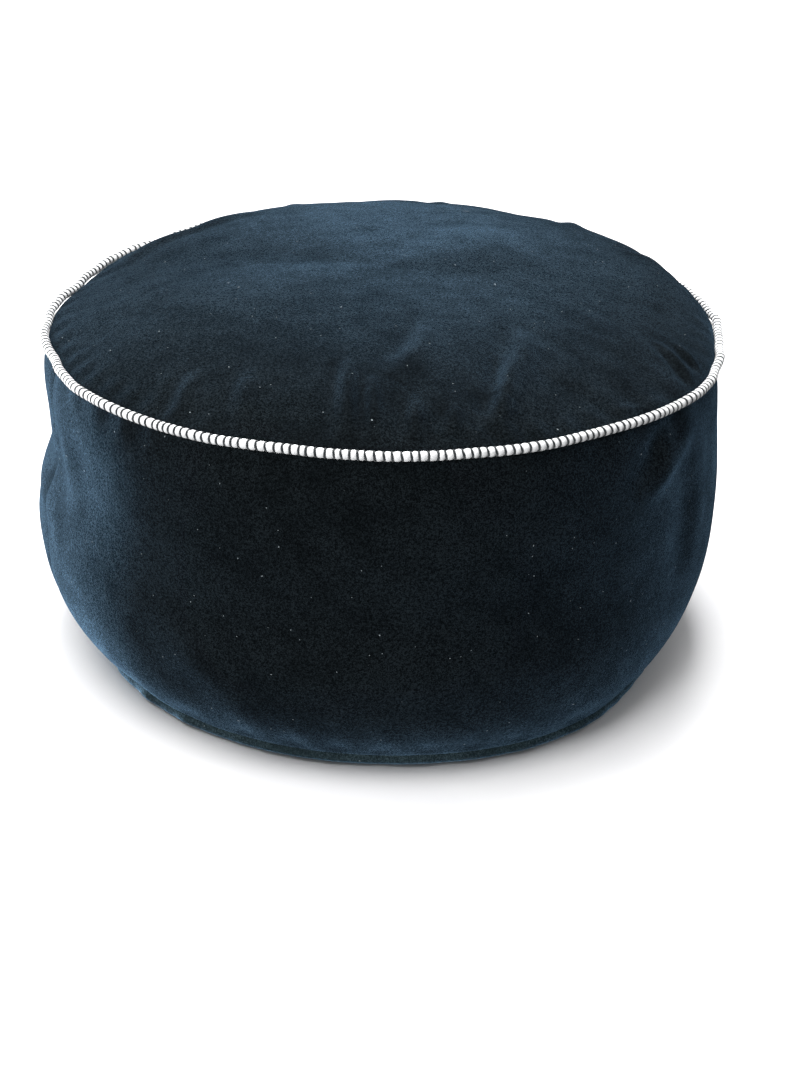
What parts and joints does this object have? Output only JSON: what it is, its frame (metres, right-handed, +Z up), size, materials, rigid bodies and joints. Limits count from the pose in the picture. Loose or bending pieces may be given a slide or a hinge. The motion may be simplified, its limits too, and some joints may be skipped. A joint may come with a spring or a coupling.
{
  "type": "floor cushion",
  "caption": "Round drum-shaped floor cushion with a crowned velvet cover, a bound cord round the top seam, a zip across the base and a filled inner bag.",
  "frame": {"origin": "on the floor, under the middle of the cushion", "axes": "+Z up, +X along the zip in the base towards its closed end, -Y the side seen from the front"},
  "size_m": [0.5528, 0.5528, 0.31],
  "materials": {
    "velvet": "cotton velvet with a short dense pile, dark petrol, with a lighter blue-teal sheen at a low angle",
    "base_velvet": "the same velvet, in the shade under the cushion",
    "white_cord": "soft white cotton cord, matte",
    "lip_tape": "white woven cotton lip, matte",
    "binding_thread": "dark petrol twisted thread, slightly glossy",
    "zip_tape": "dark herringbone polyester tape",
    "zip_coil": "dark nylon monofilament, satin",
    "zip_metal": "dark burnished die-cast metal",
    "bag_cloth": "plain off-white lining cotton",
    "fibre": "white polyester fibre"
  },
  "bodies": {
    "cushion": {"top_panel": "velvet", "side_band_front": "velvet", "side_band_back": "velvet", "base_panel_front": "base_velvet", "base_panel_back": "base_velvet", "recess_wall_front": "base_velvet", "recess_wall_back": "base_velvet", "zip_facing_front": "base_velvet", "zip_facing_back": "base_velvet", "base_end_left": "base_velvet", "base_end_right": "base_velvet", "zip_end_tab_left": "base_velvet", "zip_end_tab_right": "base_velvet", "edge_cord": "white_cord", "edge_cord_lip": "lip_tape", "binding_thread": "binding_thread", "zip_tape_front": "zip_tape", "zip_tape_back": "zip_tape", "zip_coil_front": "zip_coil", "zip_coil_back": "zip_coil", "zip_top_stop_front": "zip_metal", "zip_top_stop_back": "zip_metal", "zip_bottom_stop": "zip_metal", "inner_bag_top": "bag_cloth", "inner_bag_band": "bag_cloth", "inner_bag_base": "bag_cloth", "fibre_filling": "fibre"},
    "slider": {"zip_slider": "zip_metal"},
    "pull": {"zip_pull": "zip_metal"}
  },
  "joints": [
    {"name": "zip_slide", "type": "slide", "parent": "cushion", "child": "slider", "axis": [-1, 0, 0], "range_m": [0, 0.336]},
    {"name": "pull_flip", "type": "hinge", "parent": "slider", "child": "pull", "pos_m": [0.1682, 0, 0.0054], "axis": [0, -1, 0], "range_deg": [0, 170]}
  ]
}
